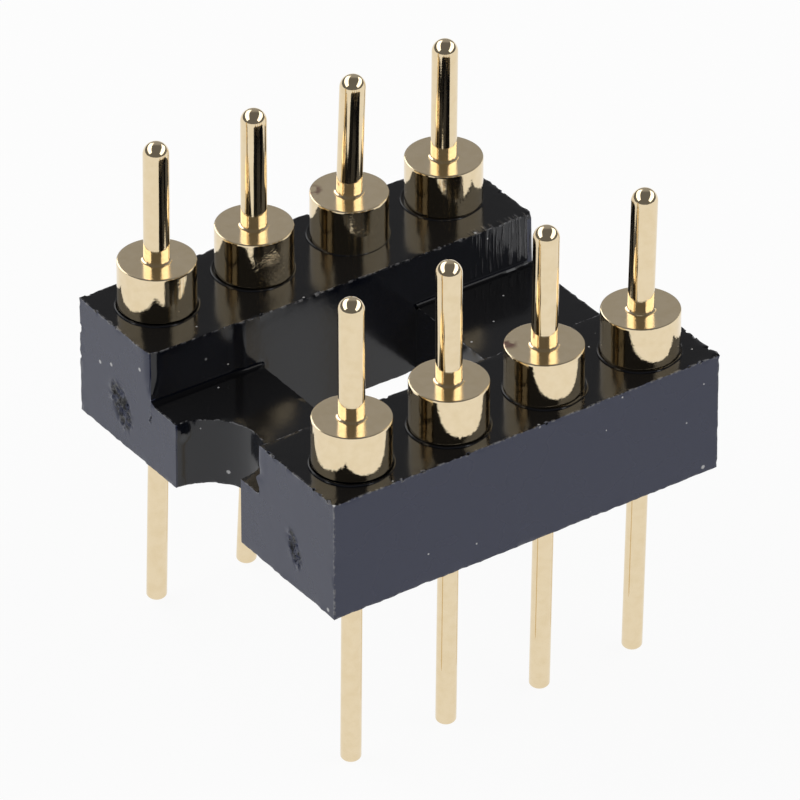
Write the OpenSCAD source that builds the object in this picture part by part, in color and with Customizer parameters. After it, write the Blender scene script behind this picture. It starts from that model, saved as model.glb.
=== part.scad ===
// Eight-way dual-in-line header: a moulded open frame that carries two rows of
// four turned pins. Each pin has a thin tail below the frame, a shank that fills
// its hole, a thick collar that seats on the frame's top, and a plug pin with a
// domed end above the collar.
// The origin lies on the plane of the tails' ends, midway between the rows.
// X runs along the rows, with the orientation notch at the -X end.

/* [Pin layout] */
// Distance between neighbouring pins in a row
pitch = 2.54; // [2.2:0.01:2.8]
// Distance between the axes of the two rows
row_spacing = 7.62; // [7:0.01:10.16]

/* [Frame] */
// Plastic beyond the axis of the last pin of a row
end_margin = 1.27; // [1.1:0.01:1.6]
// Plastic outside the axes of a row
side_margin = 1.19; // [1.1:0.01:1.5]
// Width of a bar at its top
bar_width = 2.86; // [2.4:0.02:3.1]
// Height of a bar
bar_height = 2.93; // [2.6:0.01:4]
// How much a bar widens inwards from its top to its foot
bar_draft = 0.08; // [0.02:0.01:0.15]
// Size along the rows of the webs that join the two bars
web_width = 2.98; // [2:0.02:3.2]
// Height of the webs above the frame's underside
web_height = 1.65; // [1.2:0.05:2.1]
// Radius of the hollow where a bar's inner wall runs into a web's top
foot_radius = 0.1; // [0.05:0.01:0.3]
// Radius of the orientation notch in the first web
notch_radius = 1.25; // [0.6:0.05:1.5]
// Chamfer on the frame's outer edges
edge_break = 0.05; // [0.02:0.01:0.1]

/* [Rim around each collar] */
// Width of the groove between a collar and its rim
rim_groove = 0.04; // [0.02:0.01:0.06]
// Width of a rim at its root
rim_width = 0.1; // [0.06:0.01:0.12]
// Height of a rim above the bar
rim_height = 0.05; // [0.03:0.01:0.1]

/* [Pins] */
// Length of a tail below the frame
tail_length = 4.9; // [3:0.1:8]
// Diameter of a tail
tail_diameter = 0.47; // [0.4:0.01:0.6]
// Diameter of the shank that is pressed right through the frame
shank_diameter = 1.1; // [0.8:0.05:1.3]
// Diameter of the collar
collar_diameter = 1.78; // [1.5:0.01:1.8]
// Height of the collar
collar_height = 1.15; // [0.6:0.05:2]
// Diameter of the plug pin
plug_diameter = 0.59; // [0.45:0.01:0.7]
// Length of the plug pin above its collar
plug_length = 3.01; // [2:0.01:4]
// Chamfer on the rims of the collar and the end of the shank
turned_break = 0.03; // [0.02:0.01:0.06]
// Flare at the root of the plug pin
root_flare = 0.05; // [0.02:0.01:0.08]

/* [Clearances] */
// Radial gap between the shank and its hole
press_gap = 0.01; // [0.01:0.01:0.03]

/* [Hidden] */
$fn = 64;
pins_per_row = 4;
slack = 0.1;

body_length = (pins_per_row - 1) * pitch + 2 * end_margin;
body_width = row_spacing + 2 * side_margin;
floor_z = tail_length;
top_z = floor_z + bar_height;
web_z = floor_z + web_height;

// Half the space between the bars at a height above the frame's underside
bar_lean = bar_draft / bar_height;
foot_half = body_width / 2 - bar_width - bar_draft;
function wall_half(above) = foot_half + bar_lean * above;

collar_r = collar_diameter / 2;
tail_r = tail_diameter / 2;
shank_r = shank_diameter / 2;
plug_r = plug_diameter / 2;
rim_r = collar_r + rim_groove;

// Pins are numbered from the notch, along the first row and back along the second
function pin_x(n) =
    (n <= pins_per_row ? n - 1 : 2 * pins_per_row - n) * pitch
    - (pins_per_row - 1) * pitch / 2;
function pin_y(n) = (n <= pins_per_row ? -1 : 1) * row_spacing / 2;

// A bar on the +Y side, its inner wall leaning outwards towards the top
module bar() {
    difference() {
        translate([-body_length / 2, foot_half, floor_z])
            cube([body_length, body_width / 2 - foot_half, bar_height]);
        translate([0, foot_half, floor_z])
            rotate([-atan(bar_lean), 0, 0])
                translate([-body_length, -body_width, -bar_height])
                    cube([2 * body_length, body_width, 3 * bar_height]);
    }
}

// The hollow corner between the +Y bar's inner wall and the top of the -X web
module web_foot() {
    wall = wall_half(web_height);
    reach = 0.9 * foot_radius;
    difference() {
        translate([-body_length / 2, wall - reach, web_z - slack])
            cube([web_width, reach + slack, reach + slack]);
        translate([-body_length / 2 - slack, wall - reach, web_z + reach])
            rotate([0, 90, 0])
                cylinder(r = foot_radius, h = web_width + 2 * slack);
    }
}

// The -X web, with its two hollow feet
module web() {
    translate([-body_length / 2, -foot_half - slack, floor_z])
        cube([web_width, 2 * (foot_half + slack), web_height]);
    web_foot();
    mirror([0, 1, 0]) web_foot();
}

// A low rim thrown up around a collar's foot
module rim() {
    rotate_extrude()
        polygon([
            [rim_r, -slack],
            [rim_r, rim_height],
            [rim_r + rim_width / 3, rim_height],
            [rim_r + rim_width, 0],
            [rim_r + rim_width, -slack]
        ]);
}

// The straight hole that a pin's shank is pressed into
module pin_hole() {
    translate([0, 0, floor_z - slack])
        cylinder(r = shank_r + press_gap, h = bar_height + 2 * slack);
}

// A square bar on edge that chamfers an edge of the frame by edge_break
module edge_cutter(length) {
    side = edge_break * sqrt(2);
    rotate([45, 0, 0])
        cube([length, side, side], center = true);
}

// Cutters for the frame's outer edges and the bars' inner top edges
module edge_cutters() {
    long = 2 * max(body_length, body_width);
    for (side = [-1, 1]) {
        for (z = [floor_z, top_z]) {
            translate([0, side * body_width / 2, z]) edge_cutter(long);
            translate([side * body_length / 2, 0, z])
                rotate([0, 0, 90]) edge_cutter(long);
        }
        translate([0, side * wall_half(bar_height), top_z]) edge_cutter(long);
        for (end = [-1, 1])
            translate([end * body_length / 2, side * body_width / 2, floor_z])
                rotate([0, 90, 0]) edge_cutter(long);
    }
}

module frame() {
    color("#26262b")
        difference() {
            union() {
                bar();
                mirror([0, 1, 0]) bar();
                web();
                mirror([1, 0, 0]) web();
                for (n = [1 : 2 * pins_per_row])
                    translate([pin_x(n), pin_y(n), top_z]) rim();
            }
            for (n = [1 : 2 * pins_per_row])
                translate([pin_x(n), pin_y(n), 0]) pin_hole();
            translate([-body_length / 2, 0, floor_z - slack])
                cylinder(r = notch_radius, h = bar_height);
            edge_cutters();
        }
}

// Cylinders and cones stacked upwards, each given as [height, lower r, upper r]
module turned(steps, i = 0, z = 0) {
    if (i < len(steps)) {
        translate([0, 0, z])
            cylinder(h = steps[i][0], r1 = steps[i][1], r2 = steps[i][2]);
        turned(steps, i + 1, z + steps[i][0]);
    }
}

// One pin, turned in one piece, from its tail's round end to its domed tip
module pin(n) {
    color("#d9b45b")
        translate([pin_x(n), pin_y(n), 0]) {
            translate([0, 0, tail_r]) {
                sphere(r = tail_r);
                turned([
                    [tail_length - tail_r, tail_r, tail_r],
                    [turned_break, shank_r - turned_break, shank_r],
                    [bar_height - turned_break, shank_r, shank_r],
                    [turned_break, collar_r - turned_break, collar_r],
                    [collar_height - 2 * turned_break, collar_r, collar_r],
                    [turned_break, collar_r, collar_r - turned_break],
                    [root_flare, plug_r + root_flare, plug_r],
                    [plug_length - root_flare - plug_r, plug_r, plug_r]
                ]);
            }
            translate([0, 0, top_z + collar_height + plug_length - plug_r])
                sphere(r = plug_r);
        }
}

module pin_1() { pin(1); }
module pin_2() { pin(2); }
module pin_3() { pin(3); }
module pin_4() { pin(4); }
module pin_5() { pin(5); }
module pin_6() { pin(6); }
module pin_7() { pin(7); }
module pin_8() { pin(8); }

frame();
pin_1();
pin_2();
pin_3();
pin_4();
pin_5();
pin_6();
pin_7();
pin_8();
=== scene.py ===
import math
import random

import bpy
from mathutils import Matrix, Vector, noise


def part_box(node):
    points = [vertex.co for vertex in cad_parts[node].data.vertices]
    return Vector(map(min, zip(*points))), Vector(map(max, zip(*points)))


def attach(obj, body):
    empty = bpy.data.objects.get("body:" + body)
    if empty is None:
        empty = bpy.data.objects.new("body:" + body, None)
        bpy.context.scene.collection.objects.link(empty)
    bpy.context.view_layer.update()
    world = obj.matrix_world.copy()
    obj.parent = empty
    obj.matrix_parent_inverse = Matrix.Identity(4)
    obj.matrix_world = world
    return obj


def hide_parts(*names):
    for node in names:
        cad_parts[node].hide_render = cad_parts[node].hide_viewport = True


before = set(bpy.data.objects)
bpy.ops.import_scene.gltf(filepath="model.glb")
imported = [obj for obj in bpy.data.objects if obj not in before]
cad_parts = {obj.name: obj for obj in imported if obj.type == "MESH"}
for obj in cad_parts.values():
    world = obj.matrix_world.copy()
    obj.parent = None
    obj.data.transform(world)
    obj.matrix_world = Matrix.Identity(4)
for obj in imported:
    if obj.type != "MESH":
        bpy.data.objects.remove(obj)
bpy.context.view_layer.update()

bpy.context.scene.view_settings.view_transform = "Standard"


# ---- Camera ----
# A long lens a hand's width away, above the notch corner and looking down at
# a third of a right angle, so that both rows and the open middle show.
camera_data = bpy.data.cameras.new("camera")
camera_data.sensor_width = 36
camera_data.lens = 475.2
camera_data.clip_start = 0.01
camera_data.clip_end = 20
camera = bpy.data.objects.new("camera", camera_data)
bpy.context.collection.objects.link(camera)
camera.location = (-0.110208, -0.160704, 0.133236)
sight = Vector((0.47365832, 0.69030333, -0.54692697))
right = Vector((0.824802567, -0.56542045, 0.000663668))
above = right.cross(sight).normalized()
camera.rotation_euler = Matrix((right, above, -sight)).transposed().to_euler()
bpy.context.scene.camera = camera


# ---- Studio ----
# A white table top that stays white to the eye and in the plating, a long
# soft box on each side of the camera, and a dim grey room that is lighter
# behind the object, where the tops of the collars look.
def node(tree, kind, values=None, **settings):
    """Adds a node. A value that is a socket is linked, and any other is set."""
    made = tree.nodes.new(kind)
    for name, value in settings.items():
        setattr(made, name, value)
    for name, value in (values or {}).items():
        if isinstance(value, bpy.types.NodeSocket):
            tree.links.new(value, made.inputs[name])
        else:
            made.inputs[name].default_value = value
    return made


def math_node(tree, operation, *values):
    """The result of a Math node on one, two or three values."""
    made = node(tree, "ShaderNodeMath", dict(enumerate(values)), operation=operation)
    return made.outputs[0]


def soften(tree, value, low, high):
    """0 below low and 1 above high, with a smooth step between them."""
    values = {"Value": value, "From Min": low, "From Max": high}
    made = node(
        tree, "ShaderNodeMapRange", values, interpolation_type="SMOOTHSTEP"
    )
    return made.outputs[0]


bpy.ops.object.select_all(action="DESELECT")
bpy.ops.mesh.primitive_plane_add(size=3, location=(0, 0, 0))
table_top = bpy.context.object
table_top.name = "table_top"
paper = bpy.data.materials.new("white_paper")
paper.use_nodes = True
tree = paper.node_tree
tree.nodes.clear()
matt = node(tree, "ShaderNodeBsdfDiffuse", {"Color": (0.86, 0.86, 0.86, 1)})
glow = node(tree, "ShaderNodeEmission", {"Color": (1, 1, 1, 1), "Strength": 1.0})
path = node(tree, "ShaderNodeLightPath").outputs
seen = math_node(tree, "MAXIMUM", path["Is Camera Ray"], path["Is Glossy Ray"])
seen = math_node(tree, "MAXIMUM", seen, path["Is Transmission Ray"])
share = math_node(tree, "MULTIPLY", seen, 0.93)
white = node(
    tree, "ShaderNodeMixShader", {0: share, 1: matt.outputs[0], 2: glow.outputs[0]}
)
# Seen from below the table top is clear, so that the underside can be looked at
clear = node(tree, "ShaderNodeBsdfTransparent")
side = node(tree, "ShaderNodeNewGeometry").outputs["Backfacing"]
one_sided = node(
    tree, "ShaderNodeMixShader", {0: side, 1: white.outputs[0], 2: clear.outputs[0]}
)
node(tree, "ShaderNodeOutputMaterial", {"Surface": one_sided.outputs[0]})
table_top.data.materials.append(paper)


def soft_box(name, towards, rise, width, height, radiance):
    """A soft box 0.4 m away, that many degrees round from the camera's side."""
    distance = 0.4
    front = Vector((-sight.x, -sight.y, 0)).normalized()
    side = Vector((right.x, right.y, 0)).normalized()
    turn, lift = math.radians(towards), math.radians(rise)
    way = (front * math.cos(turn) + side * math.sin(turn)) * math.cos(lift)
    way.z = math.sin(lift)
    lamp = bpy.data.lights.new(name, "AREA")
    lamp.shape = "RECTANGLE"
    lamp.size = 2 * distance * math.tan(math.radians(width / 2))
    lamp.size_y = 2 * distance * math.tan(math.radians(height / 2))
    lamp.energy = radiance * 4 * lamp.size * lamp.size_y
    box = bpy.data.objects.new(name, lamp)
    bpy.context.collection.objects.link(box)
    box.location = way * distance
    box.rotation_euler = way.to_track_quat("Z", "Y").to_euler()
    box.visible_camera = False


soft_box("left_soft_box", -106, 41, 92, 32, 1.65)
soft_box("right_soft_box", 94, 34, 92, 28, 1.65)

room = bpy.data.worlds.new("grey_room")
bpy.context.scene.world = room
room.use_nodes = True
tree = room.node_tree
tree.nodes.clear()
way = node(tree, "ShaderNodeTexCoord").outputs["Generated"]
behind = (-sight.reflect(Vector((0, 0, 1)))).normalized()
toward = node(
    tree,
    "ShaderNodeVectorMath",
    {0: way, 1: -behind},
    operation="DOT_PRODUCT",
).outputs["Value"]
lighter = soften(tree, toward, math.cos(math.radians(40)), math.cos(math.radians(18)))
grey = node(
    tree,
    "ShaderNodeMix",
    {"Factor": lighter, "A": (0.16, 0.16, 0.165, 1), "B": (0.36, 0.36, 0.37, 1)},
    data_type="RGBA",
)
grey.inputs[6].default_value = (0.16, 0.16, 0.165, 1)
grey.inputs[7].default_value = (0.36, 0.36, 0.37, 1)
dim = node(tree, "ShaderNodeBackground", {"Color": grey.outputs[2]})
bright = node(tree, "ShaderNodeBackground", {"Color": (1, 1, 1, 1)})
path = node(tree, "ShaderNodeLightPath").outputs
choose = node(
    tree,
    "ShaderNodeMixShader",
    {0: path["Is Camera Ray"], 1: dim.outputs[0], 2: bright.outputs[0]},
)
node(tree, "ShaderNodeOutputWorld", {"Surface": choose.outputs[0]})


# ---- The moulded frame ----
# One glossy black moulding: two bars joined by a lower web at each end, with
# a round notch in the first web and eight holes that the pins are pressed in.
# Its outer edges were trimmed by hand, and the first end shows two torn-off gates.
MM = 0.001
frame_low, frame_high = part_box("frame")
underside = frame_low.z / MM
length = (frame_high.x - frame_low.x) / MM
width = (frame_high.y - frame_low.y) / MM
bar_height = 2.93
web_height = 1.65
web_ends = (-2.20, 1.94)
foot_half = width / 2 - 2.86 - 0.08
lean = 0.08 / bar_height
foot_radius = 0.1
notch_radius = 1.29
notch_middle = -0.1
edge_width = 0.045
grid = 0.12
bar_top = underside + bar_height
web_top = underside + web_height
pins = {}
for number in range(1, 9):
    low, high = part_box("pin_%d" % number)
    pins[number] = (low + high) / 2 / MM


def start_fresh(piece=None):
    """Deselects everything, and picks up the piece if there is one."""
    bpy.ops.object.select_all(action="DESELECT")
    if piece:
        piece.select_set(True)
        bpy.context.view_layer.objects.active = piece


def carve(piece, cutter):
    """Cuts the cutter out of the piece and throws it away."""
    step = piece.modifiers.new("carve", "BOOLEAN")
    step.solver = "EXACT"
    step.object = cutter
    start_fresh(piece)
    bpy.ops.object.modifier_apply(modifier=step.name)
    bpy.data.objects.remove(cutter)


def pick(piece, kind, test):
    """In edit mode, selects the points, edges or faces that pass the test."""
    bpy.ops.mesh.select_all(action="DESELECT")
    bpy.ops.mesh.select_mode(type=kind)
    bpy.ops.object.mode_set(mode="OBJECT")
    mesh = piece.data
    if kind == "VERT":
        for point in mesh.vertices:
            point.select = test(point.co)
    elif kind == "EDGE":
        for edge in mesh.edges:
            edge.select = test(*(mesh.vertices[i].co for i in edge.vertices))
    else:
        for face in mesh.polygons:
            face.select = test(face.center, face.normal)
    bpy.ops.object.mode_set(mode="EDIT")


def block(name, low, high):
    """A block between two corners."""
    start_fresh()
    low, high = Vector(low), Vector(high)
    bpy.ops.mesh.primitive_cube_add(size=1, location=(low + high) / 2)
    piece = bpy.context.object
    piece.name = name
    piece.scale = high - low
    bpy.ops.object.transform_apply(location=True, rotation=True, scale=True)
    return piece


def wall(height):
    """Half the space between the bars at a height above the underside."""
    return foot_half + lean * height


moulding = block(
    "frame_moulding",
    (-length / 2, -width / 2, underside),
    (length / 2, width / 2, bar_top),
)
space = block(
    "space_between_bars",
    (-length, -wall(web_height), web_top),
    (length, wall(web_height), underside + 2 * bar_height),
)
bpy.ops.object.mode_set(mode="EDIT")
pick(space, "VERT", lambda point: point.z > bar_top)
bpy.ops.transform.resize(value=(1, wall(2 * bar_height) / wall(web_height), 1))
for cut in web_ends:
    bpy.ops.mesh.select_all(action="SELECT")
    bpy.ops.mesh.bisect(plane_co=(cut, 0, 0), plane_no=(1, 0, 0))
pick(
    space,
    "FACE",
    lambda middle, normal: normal.z < -0.9
    and web_ends[0] < middle.x < web_ends[1],
)
drop = web_height + 1
bpy.ops.mesh.extrude_region_move(TRANSFORM_OT_translate={"value": (0, 0, -drop)})
bpy.ops.transform.resize(value=(1, wall(-1) / wall(web_height), 1))
pick(
    space,
    "EDGE",
    lambda a, b: abs(a.z - web_top) + abs(b.z - web_top) < 0.001
    and abs(a.y - b.y) < 0.001
    and not web_ends[0] < (a.x + b.x) / 2 < web_ends[1],
)
bpy.ops.mesh.bevel(offset=foot_radius, segments=3, profile=0.5, affect="EDGES")
bpy.ops.object.mode_set(mode="OBJECT")
carve(moulding, space)


def drill(x, y, radius, sides):
    """A round hole right through the frame."""
    start_fresh()
    bpy.ops.mesh.primitive_cylinder_add(
        vertices=sides, radius=radius, depth=8, location=(x, y, underside + 1)
    )
    carve(moulding, bpy.context.object)


drill(-length / 2 - 0.04, notch_middle, notch_radius, 96)
for place in pins.values():
    drill(place.x, place.y, 0.56, 48)

def nick(place, size, turn):
    """A small dent where something sharp has struck or torn the plastic."""
    start_fresh()
    bpy.ops.mesh.primitive_ico_sphere_add(
        subdivisions=2, radius=1, location=place, scale=size, rotation=turn
    )
    carve(moulding, bpy.context.object)


start_fresh(moulding)
trim = moulding.modifiers.new("trimmed_edges", "BEVEL")
trim.width = edge_width
trim.segments = 1
trim.limit_method = "ANGLE"
trim.angle_limit = math.radians(40)
bpy.ops.object.modifier_apply(modifier=trim.name)


# A crescent on the first end's face, a dent in its outer corner, and chips
# strung along the upper edges
nick((-length / 2 - 0.02, 2.16, 6.17), (0.08, 0.05, 0.14), (0.5, 0, 0))
nick((-length / 2 - 0.01, width / 2, 7.05), (0.07, 0.07, 0.14), (0, 0, 0))
nick((-length / 2 - 0.01, width / 2 + 0.01, 6.3), (0.05, 0.06, 0.07), (0, 0, 0))
chips = random.Random(48)
inner_top = wall(bar_height)
for edge_y in (-width / 2, -inner_top, inner_top, width / 2):
    for _ in range(7):
        nick(
            (chips.uniform(-4.9, 4.9), edge_y, bar_top + 0.01),
            [chips.uniform(0.04, 0.1), chips.uniform(0.04, 0.07), 0.05],
            (0, 0, chips.uniform(-0.5, 0.5)),
        )
for edge_x in (-length / 2, length / 2):
    for _ in range(8):
        side = chips.choice((-1, 1))
        nick(
            (edge_x, side * chips.uniform(2.3, 4.9), bar_top + 0.01),
            [chips.uniform(0.04, 0.06), chips.uniform(0.04, 0.1), 0.05],
            (0, 0, chips.uniform(-0.5, 0.5)),
        )


def slice_across(low, high, normal, step):
    """Cuts the faces into strips, so that small forms have points to move."""
    count = round((high - low) / step)
    for i in range(1, count):
        bpy.ops.mesh.select_all(action="SELECT")
        bpy.ops.mesh.bisect(
            plane_co=Vector(normal) * (low + (high - low) * i / count),
            plane_no=normal,
            threshold=0.0001,
        )


bpy.ops.object.mode_set(mode="EDIT")
slice_across(-length / 2, length / 2, (1, 0, 0), grid)
slice_across(-width / 2, width / 2, (0, 1, 0), grid)
slice_across(underside, bar_top, (0, 0, 1), grid)

# The scars of the two gates: an oval patch each on the first end's face
gates = ((3.36, 5.86, 0.42, 0.62, 0.35), (-3.46, 5.86, 0.24, 0.5, 0.3))


def gate_share(point):
    """1 in the middle of a gate's scar and 0 outside it."""
    if point.x > -length / 2 + 0.05:
        return 0
    best = 0
    for y, z, wide, tall, slant in gates:
        off = point.z - z
        across = (point.y - y - slant * off) / wide
        best = max(best, 1 - math.hypot(across, off / tall))
    return best


pick(moulding, "FACE", lambda middle, normal: gate_share(middle) > 0)
bpy.ops.mesh.subdivide(number_cuts=3)
bpy.ops.object.mode_set(mode="OBJECT")


def smooth(value, low, high):
    """0 below low and 1 above high, with a smooth step between them."""
    share = min(max((value - low) / (high - low), 0), 1)
    return share * share * (3 - 2 * share)


def is_flat(normal):
    return max(abs(normal.x), abs(normal.y), abs(normal.z)) > 0.999


def is_foot(face):
    """True for the hollow corner between an inner wall and a web's top."""
    level = abs(face.center.z - web_top) < foot_radius + 0.05
    return level and abs(face.normal.x) < 0.1


on_edge = set()
for face in moulding.data.polygons:
    if is_foot(face):
        continue
    if not is_flat(face.normal) and abs(face.normal.z) > 0.1:
        on_edge.update(face.vertices)
    elif not is_flat(face.normal) and abs(abs(face.center.y) - width / 2) < 0.1:
        on_edge.update(face.vertices)

def twist(place):
    """The moulding is a little twisted, its far right corner highest."""
    rightness = 0.5 - place.y / width
    return (0.06 + 0.09 * rightness) * place.x / length + 0.02 * rightness


end = -length / 2
for point in moulding.data.vertices:
    place = point.co.copy()
    # Trimmed edges wander a little
    if point.index in on_edge:
        point.co += noise.noise_vector(place * 6) * 0.014
        torn = 1 + 1.5 * smooth(place.x, 4.8, 5.05) * (place.z > bar_top - 0.1)
        point.co += noise.noise_vector(place * 17) * 0.016 * torn
    # The left bar's inner corner at the first end is rounded, the right one torn
    inner = wall(place.z - underside)
    for sign, radius in ((1, 0.26), (-1, 0.12)):
        reach = radius * smooth(place.z, web_top + 0.1, web_top + 0.7)
        along = end + reach - place.x
        across = inner + reach - sign * place.y
        if reach > 0.01 and along > 0 and across > 0 and sign * place.y > 0:
            far = math.hypot(along, across)
            if far > reach:
                point.co.x += along * (1 - reach / far)
                point.co.y += sign * across * (1 - reach / far)
    # A burr stands off the torn corner
    burr = math.hypot(place.x - end, place.y + inner) / 0.16
    if burr < 1 and place.z > web_top + 0.25:
        rough = 0.5 + noise.noise(place * 9)
        point.co.y += 0.1 * (1 - burr) * rough
        point.co.x -= 0.05 * (1 - burr) * rough
    # The scars of the gates stand up in crumpled lobes
    share = gate_share(place)
    if share > 0:
        lobes = noise.noise(place * 7) + 0.6 * noise.noise(place * 15)
        point.co.x -= 0.085 * min(share * 2.5, 1) * lobes
    # Two fine ridges run down the left inner wall by the first web
    if abs(place.y - inner) < 0.02 and place.x < web_ends[0]:
        point.co.y += 0.05 * smooth(-place.x, 2.7, 2.85)
    # The far end of the left inner wall is sawn in fine upright strokes
    if abs(place.y - inner) < 0.02 and place.x > 3.5:
        stroke = noise.noise(Vector((place.x * 9, place.z * 0.6, 0)))
        point.co.y += 0.02 * stroke * smooth(place.x, 3.5, 4.2)
    # A flake hangs from the notch's left side, under its upper edge
    flake = 1 - math.hypot(place.x + 4.93, place.y - 1.14, place.z - 6.3) / 0.2
    if flake > 0:
        point.co.y -= 0.09 * flake
        point.co.x -= 0.03 * flake
    point.co.z += twist(place)

edge_share = moulding.data.attributes.new("trimmed_edge", "FLOAT", "POINT")
for index in on_edge:
    edge_share.data[index].value = 1
gate_mark = moulding.data.attributes.new("gate_scar", "FLOAT", "POINT")
sawn_mark = moulding.data.attributes.new("sawn_end", "FLOAT", "POINT")
for point in moulding.data.vertices:
    place = point.co
    gate_mark.data[point.index].value = max(0, gate_share(place))
    if 0 < place.y - inner_top + 0.2 < 0.4 and place.z > web_top + 0.2:
        sawn_mark.data[point.index].value = smooth(place.x, 3.3, 3.9)


def finish_piece(piece, angle):
    """Takes the piece from millimetres to metres and smooths its shading."""
    start_fresh(piece)
    piece.scale = (MM, MM, MM)
    bpy.ops.object.transform_apply(location=True, rotation=True, scale=True)
    bpy.ops.object.shade_smooth_by_angle(angle=math.radians(angle))


# The low lip of plastic that a collar throws up as it is pressed home
start_fresh()
bpy.ops.mesh.primitive_torus_add(
    major_segments=72, minor_segments=8, major_radius=0.925, minor_radius=0.035
)
lip = bpy.context.object
for point in lip.data.vertices:
    point.co *= 1 + 0.012 * noise.noise(point.co * 3)
    point.co.z = point.co.z * 0.8 + 0.015 * noise.noise(point.co * 2)
lips = [lip]
for place in list(pins.values())[1:]:
    start_fresh(lip)
    bpy.ops.object.duplicate()
    lips.append(bpy.context.object)
for copy, place in zip(lips, pins.values()):
    copy.location = (place.x, place.y, bar_top + twist(place) - 0.004)
start_fresh(moulding)
for copy in lips:
    copy.select_set(True)
bpy.ops.object.join()
finish_piece(moulding, 30)

# White dust that has settled where it shows most, in millimetres
dust_places = (
    (-5.08, -4.98, 7.8),
    (-3.617, 2.13, 7.167),
    (-3.874, -0.434, 5.9),
    (-3.85, -0.34, 5.84),
    (-4.06, 0.64, 5.2),
    (4.703, -5.0, 5.136),
    (-5.08, -4.756, 4.97),
    (-5.08, 3.75, 6.72),
    (-5.08, 4.2, 6.55),
    (-5.08, 2.6, 7.2),
    (0.3, -4.96, 7.82),
    (3.6, 2.2, 7.83),
)


def group_sockets(group, into, out):
    """Gives a node group its named sockets."""
    for name, kind in into:
        group.interface.new_socket(name, in_out="INPUT", socket_type=kind)
    for name, kind in out:
        group.interface.new_socket(name, in_out="OUTPUT", socket_type=kind)


COLOUR, NUMBER, WAY = "NodeSocketColor", "NodeSocketFloat", "NodeSocketVector"

# Dust, rubbed edges and gate scars, which every face of the moulding can show; painted glints fleck
# the rubbed edges and painted shade darkens the scars' pits
wear_and_painted_light = bpy.data.node_groups.new("dust_wear_and_painted_light", "ShaderNodeTree")
group_sockets(
    wear_and_painted_light,
    [("Colour", COLOUR), ("Roughness", NUMBER)],
    [("Colour", COLOUR), ("Roughness", NUMBER), ("Height", NUMBER)],
)
given = node(wear_and_painted_light, "NodeGroupInput").outputs
at = node(wear_and_painted_light, "ShaderNodeTexCoord").outputs["Object"]
fine = node(wear_and_painted_light, "ShaderNodeTexNoise", {"Vector": at, "Scale": 9000, "Detail": 4})
broad = node(wear_and_painted_light, "ShaderNodeTexNoise", {"Vector": at, "Scale": 900, "Detail": 2})
ripple = node(wear_and_painted_light, "ShaderNodeTexNoise", {"Vector": at, "Scale": 3300, "Detail": 2})
pits = node(wear_and_painted_light, "ShaderNodeTexNoise", {"Vector": at, "Scale": 5200, "Detail": 3})
edge = node(
    wear_and_painted_light, "ShaderNodeAttribute", attribute_name="trimmed_edge"
).outputs["Fac"]
scar = node(wear_and_painted_light, "ShaderNodeAttribute", attribute_name="gate_scar").outputs["Fac"]
sawn = node(wear_and_painted_light, "ShaderNodeAttribute", attribute_name="sawn_end").outputs["Fac"]
upright = node(wear_and_painted_light, "ShaderNodeMapping", {"Vector": at, "Scale": (16, 1, 0.9)})
strokes = node(
    wear_and_painted_light, "ShaderNodeTexNoise", {"Vector": upright.outputs[0], "Scale": 900, "Detail": 3}
)
chips = math_node(
    wear_and_painted_light, "MULTIPLY", soften(wear_and_painted_light, edge, 0.55, 1.0), soften(wear_and_painted_light, fine.outputs[0], 0.45, 0.62)
)
cells = node(wear_and_painted_light, "ShaderNodeTexVoronoi", {"Vector": at, "Scale": 2300})
keep = node(wear_and_painted_light, "ShaderNodeSeparateColor", {"Color": cells.outputs["Color"]})
dust = math_node(
    wear_and_painted_light,
    "MULTIPLY",
    math_node(wear_and_painted_light, "LESS_THAN", cells.outputs["Distance"], 0.055),
    math_node(wear_and_painted_light, "GREATER_THAN", keep.outputs[0], 0.6),
)
for spot in dust_places:
    gap = node(
        wear_and_painted_light,
        "ShaderNodeVectorMath",
        {0: at, 1: Vector(spot) * MM},
        operation="DISTANCE",
    ).outputs["Value"]
    dust = math_node(wear_and_painted_light, "MAXIMUM", dust, soften(wear_and_painted_light, gap, 0.00006, 0.00003))
# Light grey flecks on the trimmed edges: partly rubbed plastic, partly painted glints where the
# edges catch the light
worn_and_glinting = node(
    wear_and_painted_light,
    "ShaderNodeMix",
    {0: chips, 6: given["Colour"], 7: (0.17, 0.17, 0.18, 1)},
    data_type="RGBA",
).outputs[2]
# Near black in the pits of the gate scars: painted shade in their creases, where the bump also
# presses the pits in
scar_pits_and_shade = math_node(
    wear_and_painted_light, "MULTIPLY", soften(wear_and_painted_light, scar, 0.0, 0.35), soften(wear_and_painted_light, pits.outputs[0], 0.42, 0.56)
)
scar_shaded = node(
    wear_and_painted_light,
    "ShaderNodeMix",
    {0: scar_pits_and_shade, 6: worn_and_glinting, 7: (0.002, 0.002, 0.003, 1)},
    data_type="RGBA",
).outputs[2]
streak = math_node(wear_and_painted_light, "MULTIPLY", sawn, soften(wear_and_painted_light, strokes.outputs[0], 0.5, 0.62))
streaked = node(
    wear_and_painted_light,
    "ShaderNodeMix",
    {0: streak, 6: scar_shaded, 7: (0.06, 0.06, 0.065, 1)},
    data_type="RGBA",
).outputs[2]
dusty = node(
    wear_and_painted_light,
    "ShaderNodeMix",
    {0: dust, 6: streaked, 7: (0.62, 0.62, 0.62, 1)},
    data_type="RGBA",
).outputs[2]
rough = math_node(
    wear_and_painted_light,
    "ADD",
    given["Roughness"],
    math_node(wear_and_painted_light, "MULTIPLY", soften(wear_and_painted_light, scar, 0.0, 0.4), 0.12),
)
rough = math_node(wear_and_painted_light, "ADD", rough, math_node(wear_and_painted_light, "MULTIPLY", dust, 0.5))
rough = math_node(
    wear_and_painted_light, "ADD", rough, math_node(wear_and_painted_light, "MULTIPLY", broad.outputs[0], 0.05)
)
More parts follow.
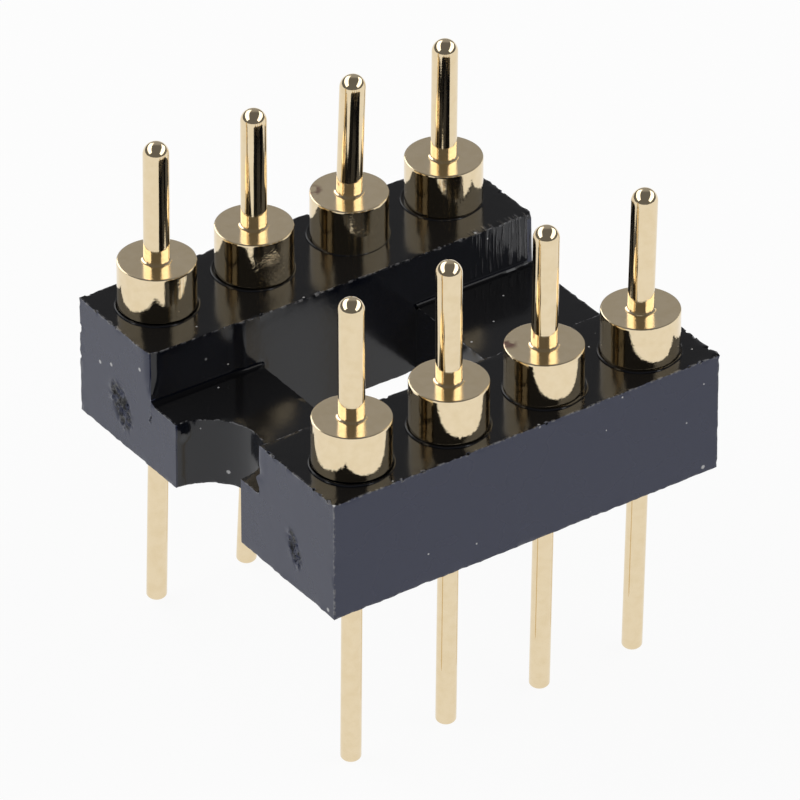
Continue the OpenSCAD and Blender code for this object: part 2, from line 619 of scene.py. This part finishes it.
height = math_node(
    wear_and_painted_light, "MULTIPLY_ADD", fine.outputs[0], math_node(
        wear_and_painted_light, "MULTIPLY_ADD", soften(wear_and_painted_light, scar, 0.0, 0.3), 2.5, 0.12
    ), broad.outputs[0]
)
height = math_node(wear_and_painted_light, "MULTIPLY_ADD", chips, 0.8, height)
height = math_node(wear_and_painted_light, "MULTIPLY_ADD", ripple.outputs[0], 0.5, height)
height = math_node(wear_and_painted_light, "MULTIPLY_ADD", streak, 3.0, height)
height = math_node(wear_and_painted_light, "MULTIPLY_ADD", scar_pits_and_shade, -1.6, height)
node(wear_and_painted_light, "NodeGroupOutput", {"Colour": dusty, "Roughness": rough, "Height": height})


def plastic(name, colour, roughness, index):
    """Black plastic in one of the frame's finishes."""
    made = bpy.data.materials.new(name)
    made.use_nodes = True
    tree = made.node_tree
    shader = tree.nodes["Principled BSDF"]
    shader.inputs["IOR"].default_value = index
    shared = node(tree, "ShaderNodeGroup", node_tree=wear_and_painted_light)
    shared.inputs["Colour"].default_value = colour
    shared.inputs["Roughness"].default_value = roughness
    bump = node(tree, "ShaderNodeBump", {"Height": shared.outputs["Height"]})
    bump.inputs["Distance"].default_value = 0.000006
    bump.inputs["Strength"].default_value = 0.7
    tree.links.new(shared.outputs["Colour"], shader.inputs["Base Color"])
    tree.links.new(shared.outputs["Roughness"], shader.inputs["Roughness"])
    tree.links.new(bump.outputs[0], shader.inputs["Normal"])
    return made


# The outer faces' lighter, bluish colour is partly the satin finish and partly painted light,
# standing in for bluish light from the floor below
finishes = (
    plastic("satin_outer_faces_with_painted_light", (0.022, 0.028, 0.064, 1), 0.25, 1.5),
    plastic("polished_tops", (0.005, 0.005, 0.006, 1), 0.12, 1.3),
    plastic("glossy_inner_walls", (0.0035, 0.0045, 0.009, 1), 0.13, 1.5),
)
moulding.data.materials.clear()
for finish in finishes:
    moulding.data.materials.append(finish)
for face in moulding.data.polygons:
    middle = face.center / MM
    outside = abs(middle.x) > length / 2 - 0.06 or abs(middle.y) > width / 2 - 0.06
    if face.normal.z > 0.7:
        face.material_index = 1
    elif outside or face.normal.z < -0.5:
        face.material_index = 0
    else:
        face.material_index = 2
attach(moulding, "root")
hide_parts("frame")


# ---- The turned pins ----
# Eight like pins, each turned from one brass rod and gold plated. A thin tail
# with a rounded end hangs below, the shank fills its hole, the collar sits on
# the bar, and the plug above it ends in a dome. Each leans its own way.
tail_radius = 0.235
shank_radius = 0.55
collar_radius = 0.89
plug_radius = 0.295
collar_foot = bar_top
collar_top = collar_foot + 1.15
tip = collar_top + 3.01
# How far tail, collar and tip stand off, across the camera's view and away
pin_lean = {
    1: ((-0.036, -0.025), (0, 0), (-0.004, -0.016)),
    2: ((-0.044, -0.022), (0, 0), (-0.010, 0.020)),
    3: ((-0.065, -0.075), (-0.024, 0), (0.002, -0.006)),
    4: ((-0.083, 0.019), (0, 0), (0.056, 0.073)),
    5: ((-0.12, 0), (0.034, 0), (0.055, 0.014)),
    6: ((-0.15, 0), (0.028, -0.054), (0.117, -0.056)),
    7: ((-0.209, 0.031), (0.026, 0), (0.037, -0.059)),
    8: ((-0.107, 0.001), (0, 0), (0.019, -0.003)),
}


def turned_profile():
    """(radius, height) from the tail's end to the plug's tip."""
    crown = 0.14
    steps = []
    for i in range(1, 9):
        turn = math.radians(90 * i / 8)
        steps.append((tail_radius * math.sin(turn), crown * (1 - math.cos(turn))))
    for i in range(1, 9):
        steps.append((tail_radius, crown + (underside - crown) * i / 9))
    steps += [
        (tail_radius, underside),
        (shank_radius - 0.03, underside),
        (shank_radius, underside + 0.03),
        (shank_radius, collar_foot),
        (collar_radius - 0.03, collar_foot),
        (collar_radius, collar_foot + 0.03),
        (collar_radius, collar_foot + 0.06),
    ]
    for i in range(1, 8):
        steps.append((collar_radius, collar_foot + 0.06 + 1.03 * i / 8))
    steps += [
        (collar_radius, collar_top - 0.06),
        (collar_radius, collar_top - 0.025),
        (collar_radius - 0.008, collar_top - 0.008),
        (collar_radius - 0.025, collar_top),
        (collar_radius - 0.06, collar_top),
        (0.62, collar_top),
        (plug_radius + 0.1, collar_top),
        (plug_radius + 0.05, collar_top),
        (plug_radius + 0.045, collar_top + 0.02),
        (plug_radius + 0.005, collar_top + 0.035),
        (plug_radius, collar_top + 0.06),
        (plug_radius, collar_top + 0.1),
    ]
    for i in range(1, 7):
        steps.append((plug_radius, collar_top + 0.1 + 2.55 * i / 6))
    for i in range(0, 12):
        turn = math.radians(90 * i / 12)
        rise = tip - plug_radius * (1 - math.sin(turn))
        steps.append((plug_radius * math.cos(turn), rise))
    return steps


steps = turned_profile()
start_fresh()
bpy.ops.mesh.primitive_circle_add(
    vertices=96, radius=steps[0][0], location=(0, 0, 0), fill_type="NGON"
)
model_pin = bpy.context.object
bpy.ops.object.mode_set(mode="EDIT")
bpy.ops.mesh.select_all(action="SELECT")
bpy.ops.transform.translate(value=(0, 0, steps[0][1]))
for (r0, z0), (r1, z1) in zip(steps, steps[1:]):
    bpy.ops.mesh.extrude_region_move(TRANSFORM_OT_translate={"value": (0, 0, z1 - z0)})
    bpy.ops.transform.resize(value=(r1 / r0, r1 / r0, 1))
bpy.ops.mesh.select_all(action="SELECT")
bpy.ops.mesh.normals_make_consistent(inside=False)
bpy.ops.object.mode_set(mode="OBJECT")
turning = model_pin.data.attributes.new("turning", "FLOAT_VECTOR", "POINT")
for point in model_pin.data.vertices:
    turning.data[point.index].vector = point.co

# Turned and plated brass: fine rings on the flats, crumpled plating on collars
gold = bpy.data.materials.new("turned_gold_plate")
gold.use_nodes = True
tree = gold.node_tree
shader = tree.nodes["Principled BSDF"]
shader.inputs["Metallic"].default_value = 1.0
on_pin = node(tree, "ShaderNodeAttribute", attribute_name="turning").outputs["Vector"]
place = node(tree, "ShaderNodeSeparateXYZ", {0: on_pin}).outputs
at = node(tree, "ShaderNodeTexCoord").outputs["Object"]
facing = node(tree, "ShaderNodeSeparateXYZ", {
    0: node(tree, "ShaderNodeTexCoord").outputs["Normal"]
}).outputs
flat_top = soften(tree, facing[2], 0.9, 0.98)
out = math_node(
    tree, "SQRT", math_node(
        tree, "MULTIPLY_ADD", place[0], place[0], math_node(tree, "MULTIPLY", place[1], place[1])
    )
)
rings = node(
    tree, "ShaderNodeTexNoise", {"W": out, "Scale": 38, "Detail": 3}, noise_dimensions="1D"
).outputs[0]
crumple = node(
    tree, "ShaderNodeTexNoise", {"Vector": at, "Scale": 11000, "Detail": 3, "Roughness": 0.6}
).outputs[0]
fleck = node(
    tree, "ShaderNodeTexNoise", {"Vector": at, "Scale": 19000, "Detail": 3}
).outputs[0]
fleck = math_node(tree, "MULTIPLY", fleck, 6.0)
marks = node(
    tree, "ShaderNodeTexNoise", {"W": place[2], "Scale": 30, "Detail": 3}, noise_dimensions="1D"
).outputs[0]
collar_share = math_node(tree, "GREATER_THAN", out, 0.6)
gap = node(
    tree, "ShaderNodeVectorMath", {0: at, 1: Vector((-1.3, 3.05, 8.35)) * MM},
    operation="DISTANCE",
).outputs["Value"]
scuffed = soften(tree, gap, 0.0006, 0.00025)
crumple = math_node(
    tree, "ADD", crumple,
    math_node(tree, "MULTIPLY", math_node(tree, "MULTIPLY", scuffed, collar_share), fleck),
)
side_height = math_node(
    tree, "MULTIPLY_ADD", crumple,
    math_node(tree, "MULTIPLY_ADD", collar_share, 0.8, 0.25),
    math_node(tree, "MULTIPLY", marks, 0.15),
)
height = node(
    tree, "ShaderNodeMix", {0: flat_top, 2: side_height, 3: math_node(tree, "MULTIPLY", rings, 0.9)}
).outputs[0]
bump = node(tree, "ShaderNodeBump", {"Height": height, "Distance": 0.000004, "Strength": 0.6})
tree.links.new(bump.outputs[0], shader.inputs["Normal"])
roughness = math_node(tree, "MULTIPLY_ADD", flat_top, 0.09, 0.065)
tree.links.new(roughness, shader.inputs["Roughness"])
blotch = node(
    tree, "ShaderNodeTexNoise", {"Vector": at, "Scale": 4500, "Detail": 3}
).outputs[0]
stain = 0.0
for spot in ((0.63, 4.24, 8.98), (0.61, -3.36, 8.98)):
    gap = node(
        tree, "ShaderNodeVectorMath", {0: at, 1: Vector(spot) * MM}, operation="DISTANCE"
    ).outputs["Value"]
    near = soften(tree, gap, 0.00028, 0.00008)
    stain = math_node(tree, "MAXIMUM", near, stain)
stain = math_node(tree, "MULTIPLY", stain, soften(tree, blotch, 0.4, 0.6))
plate = node(
    tree,
    "ShaderNodeMix",
    {0: soften(tree, blotch, 0.3, 0.8), 6: (0.80, 0.665, 0.45, 1), 7: (0.765, 0.625, 0.405, 1)},
    data_type="RGBA",
).outputs[2]
stained = node(
    tree, "ShaderNodeMix", {0: stain, 6: plate, 7: (0.30, 0.17, 0.13, 1)}, data_type="RGBA"
).outputs[2]
tree.links.new(stained, shader.inputs["Base Color"])

across = Vector((right.x, right.y, 0)).normalized()
away = Vector((-right.y, right.x, 0)).normalized()


def lean_at(height, offsets):
    """How far the pin's axis stands off at a height."""
    tail, collar, point = (across * a + away * b for a, b in offsets)
    if height < underside:
        return tail * (1 - height / underside)
    if height <= collar_foot:
        return collar * (height - underside) / bar_height
    if height <= collar_top:
        return collar
    return collar.lerp(point, (height - collar_top) / (tip - collar_top))


for number, place in pins.items():
    start_fresh(model_pin)
    bpy.ops.object.duplicate()
    piece = bpy.context.object
    piece.name = "turned_pin_%d" % number
    for point in piece.data.vertices:
        point.co += lean_at(point.co.z, pin_lean[number])
    piece.location = (place.x, place.y, 0)
    bpy.ops.object.transform_apply(location=True, rotation=True, scale=True)
    finish_piece(piece, 30)
    piece.data.materials.clear()
    piece.data.materials.append(gold)
    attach(piece, "root")
    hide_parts("pin_%d" % number)
bpy.data.objects.remove(model_pin)
